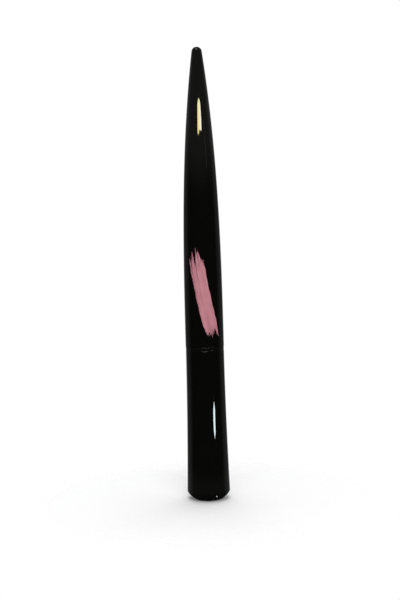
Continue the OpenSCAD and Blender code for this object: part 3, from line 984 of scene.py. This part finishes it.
class PEN_OT_spring(bpy.types.Operator):
    """Make the inner cap's coil spring of round wire"""

    bl_idname = "eyeliner_pen.spring"
    bl_label = "Spring"

    def execute(self, context):
        size = sizes_of("pen_spring")
        size.coil_radius = size.radius - size.wire_radius
        piece = made_by(
            coil_spring, size,
            steel_finish("Spring steel", colours().steel, 0.24, 6.0, 0.003 * MM),
            "inner_cap_spring_wire", "cap", "inner_cap_spring")
        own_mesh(piece)
        return {"FINISHED"}


class PEN_OT_fittings(bpy.types.Operator):
    """Give the CAD's own inner pieces their finishes"""

    bl_idname = "eyeliner_pen.fittings"
    bl_label = "Inner fittings"

    def execute(self, context):
        tones = colours()
        for material, *nodes in (
                (moulded_finish("White plastic", tones.white, 0.4),
                 "inner_cap", "brush_collar"),
                (moulded_finish("Seal rubber", tones.rubber, 0.68, 9000.0, 0.01 * MM),
                 "inner_cap_seal", "tank_seal_ring"),
                (moulded_finish("Plug plastic", tones.plug, 0.45),
                 "tank_plug", "tank_tail_plug"),
                (moulded_finish("Liner plastic", tones.liner, 0.38, 4200.0), "cap_liner"),
                (moulded_finish("Comb plastic", tones.comb, 0.4, 6500.0), "collector"),
                (fibre_finish(), "feed_rod"),
                (tank_finish(), "ink_tank"),
                (steel_finish("Ball steel", tones.steel, 0.08, 1.0, 0.0008 * MM),
                 "mixing_balls")):
            for node in nodes:
                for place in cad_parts[node].material_slots:
                    place.material = material
        return {"FINISHED"}


# Studio

# A card's name, centre and distance, its outline in degrees round the pen and above it,
# its strength, and its colour or those of its left and right.
LIGHT_CARDS = (
    ("window_card", (0, 0, 118 * MM), 0.5,
     ((7.9, 24.4), (-1.5, 24.0), (-7.3, 23.3), (-9.2, 21.4), (-10.5, 19.1), (-10.6, 18.1),
      (0.4, 18.2), (3, 18.9), (13, 18.7), (23.5, 18.6), (24.2, 20.2), (23.3, 22), (21.9, 23.1),
      (17.2, 23.9)),
     23.0, (0.86, 0.7, 0.27), (1.0, 0.97, 0.78)),
    ("side_card", (0, 0, 24 * MM), 0.13,
     ((44.1, -3), (38.6, -4.6), (37.6, -6.3), (38.2, -8.3), (42.5, -9.7), (47.6, -8.6),
      (47.8, -6.4), (48.6, -4.4)),
     23.0, (0.8, 0.93, 1.0)),
    ("door_gap_card", (0, 0, 114 * MM), 0.5,
     ((43.5, 20.4), (45.6, 16.5), (49.2, 12.6), (52.2, 12.2), (49.6, 16), (46.8, 20.4)),
     0.5, (1.0, 0.92, 0.78)),
    ("low_card", (2.4 * MM, -5.7 * MM, 1.6 * MM), 0.04,
     ((76, -66.5), (82, -65.5), (92, -64.9), (107, -65.4), (118, -65.6), (115, -67.3),
      (97, -68.5)),
     9.0, (1.0, 1.0, 1.0)),
)

# A soft lamp's name, place, target and size, the setting for its brightness, and whether
# the gloss shows it.
SOFT_LAMPS = (
    ("spot_softbox", (-0.039, -0.274, 0.495), (0, 0, 0.14), 0.2, "top_light", True),
    ("softbox", (0.03, 0.16, 0.56), (0, 0, 0.05), 0.34, "top_light", False),
    ("softbox", (0.12, -0.6, 0.34), (0, 0, 0.07), 0.36, "front_light", False),
)


def direction(azimuth, elevation):
    """A direction seen from the pen: azimuth 0 is towards the camera, and grows rightwards."""
    side, up = math.radians(azimuth), math.radians(elevation)
    level = math.cos(up)
    return Vector((math.sin(side) * level, -math.cos(side) * level, math.sin(up)))


def glow_finish(name, strength, *tones):
    """A light card's glow, which goes from one colour to another across it."""
    material = bpy.data.materials.new(name)
    material.use_nodes = True
    net = Net(material.node_tree)
    net.tree.nodes.remove(net.tree.nodes["Principled BSDF"])
    glow = net.mix(net.ramp(net.attribute("across"), 0.0, 1.0), tones[0], tones[-1])
    net.put(
        net.tree.nodes["Material Output"].inputs["Surface"],
        net.wire("Emission", Color=glow, Strength=strength))
    return material


def light_card(name, centre, distance, outline, *glow):
    """A glowing card that only the gloss shows."""
    corners = [Vector(centre) + direction(*point) * distance for point in outline]
    mesh = plain_mesh(
        name, corners, [], tessellate_polygon([corners]), glow_finish(name, *glow))
    angles = [point[0] for point in outline]
    left, right = min(angles), max(angles)
    shares = mesh.attributes.new("across", "FLOAT", "POINT")
    for item, angle in zip(shares.data, angles):
        item.value = (angle - left) / (right - left)
    card = added(name, mesh)
    card.visible_camera = card.visible_diffuse = card.visible_shadow = False


def soft_lamp(settings, name, place, target, size, brightness, shown):
    """A square soft lamp, as bright as a setting asks on its face."""
    data = bpy.data.lights.new(name, "AREA")
    data.shape, data.size = "SQUARE", size
    data.energy = getattr(settings, brightness) * math.pi * size * size
    lamp = added(name, data)
    lamp.location = place
    towards = Vector(target) - Vector(place)
    lamp.rotation_euler = towards.to_track_quat("-Z", "Y").to_euler()
    lamp.visible_glossy = shown


def make_floor(settings):
    """A pale round floor that fades out into the pale background."""
    rings, sides = (0.1, 0.2, 0.35, 0.5, 0.75, 1.0), 96
    points = [(0, 0, 0)]
    for radius in (settings.floor_radius * ring for ring in rings):
        for angle in (2 * math.pi * side / sides for side in range(sides)):
            points.append((radius * math.cos(angle), radius * math.sin(angle), 0))
    faces = [(0, 1 + side, 1 + (side + 1) % sides) for side in range(sides)]
    for inner in range(1, 1 + sides * (len(rings) - 1), sides):
        for side in range(sides):
            outer, after = inner + sides, (side + 1) % sides
            faces.append((inner + side, outer + side, outer + after, inner + after))
    made = Finish("Pale floor")
    x, y, _ = made.parts(made.place())
    away = (x * x + y * y).math("SQRT")
    seen = made.ramp(away, settings.floor_fade, settings.floor_radius, 1.0, 0.0)
    made.set(Alpha=seen * (1.0 - made.wire("LightPath", out="Is Glossy Ray") * 0.96))
    grain = made.noise(made.place(), 900.0, 3.0)
    material = made.done(
        base=solid((0.87, 0.87, 0.88)), rough=0.75, height=grain, depth=0.02 * MM)
    added("floor", plain_mesh("floor", points, [], faces, material))


def make_surroundings(settings):
    """White behind the pen for the camera and the gloss, and a dim room in front of it."""
    world = bpy.data.worlds.new("Studio")
    bpy.context.scene.world = world
    world.use_nodes = True
    net = Net(world.node_tree)
    seen, glossy, passed = (
        net.wire("LightPath", out=f"Is {ray} Ray")
        for ray in ("Camera", "Glossy", "Transmission"))
    _, depth, height = net.parts(net.wire("TexCoord", out="Generated"))
    darkest, lightest = 0.016, 0.11
    ceiling = net.ramp(height, 0.17, 0.3, 0.0, lightest)
    room = net.ramp(depth, -0.08, 0.34, darkest, lightest) + ceiling
    backdrop = net.ramp(depth, 0.86, 0.95)
    underneath = net.ramp(height, -0.6, -0.3)
    mirrored = (room + (1.0 - room) * backdrop) * underneath
    gloss = glossy.math("MAXIMUM", passed)
    other = (1.0 - gloss) * settings.ambient + gloss * mirrored
    background = net.tree.nodes["Background"].inputs
    net.put(background["Color"], (1.0, 1.0, 1.0, 1.0))
    net.put(background["Strength"], seen + (1.0 - seen) * other)


def make_camera(settings):
    data = bpy.data.cameras.new("camera")
    data.lens = settings.focal_length
    data.sensor_width = FILM_WIDTH
    data.clip_start, data.clip_end = 0.01, 20
    camera = added("camera", data)
    facing, level, leaned = (Euler(angles).to_matrix() for angles in (
        (0, 0, settings.yaw), (QUARTER - settings.pitch, 0, 0), (0, 0, -settings.roll)))
    camera.matrix_world = (facing @ level @ leaned).to_4x4()
    camera.location = (0, -settings.camera_distance, settings.camera_height)
    bpy.context.scene.camera = camera


class PEN_OT_studio(bpy.types.Operator):
    """Make the floor, the background, the lights and the camera"""

    bl_idname = "eyeliner_pen.studio"
    bl_label = "Studio"

    def execute(self, context):
        settings = context.scene.pen_studio
        context.scene.view_settings.view_transform = "Standard"
        make_camera(settings)
        make_surroundings(settings)
        make_floor(settings)
        for card in LIGHT_CARDS:
            light_card(*card)
        for lamp in SOFT_LAMPS:
            soft_lamp(settings, *lamp)
        return {"FINISHED"}


# Add-on

OPERATORS = (
    PEN_OT_barrel, PEN_OT_cap_shell, PEN_OT_front_section, PEN_OT_label_stroke,
    PEN_OT_brush, PEN_OT_spring, PEN_OT_fittings, PEN_OT_studio,
)


class PEN_PT_sidebar(bpy.types.Panel):
    """Lists the pen's pieces in the sidebar of the 3D view"""

    bl_idname = "PEN_PT_sidebar"
    bl_label = "Eyeliner pen"
    bl_space_type = "VIEW_3D"
    bl_region_type = "UI"
    bl_category = "Eyeliner pen"

    def draw(self, context):
        for operator in OPERATORS:
            self.layout.operator(operator.bl_idname)
        for name, group in GROUPS.items():
            box = self.layout.box()
            box.label(text=words(name.replace("pen_", "")))
            for size in group.__annotations__:
                box.prop(getattr(context.scene, name), size)


def register():
    for kind in (*GROUPS.values(), *OPERATORS, PEN_PT_sidebar):
        bpy.utils.register_class(kind)
    for name, group in GROUPS.items():
        setattr(bpy.types.Scene, name, bpy.props.PointerProperty(type=group))


def unregister():
    for name in GROUPS:
        delattr(bpy.types.Scene, name)
    for kind in (PEN_PT_sidebar, *reversed(OPERATORS), *reversed(GROUPS.values())):
        bpy.utils.unregister_class(kind)


def main():
    register()
    for operator in OPERATORS:
        group, name = operator.bl_idname.split(".")
        getattr(getattr(bpy.ops, group), name)()


if __name__ == "__main__":
    main()
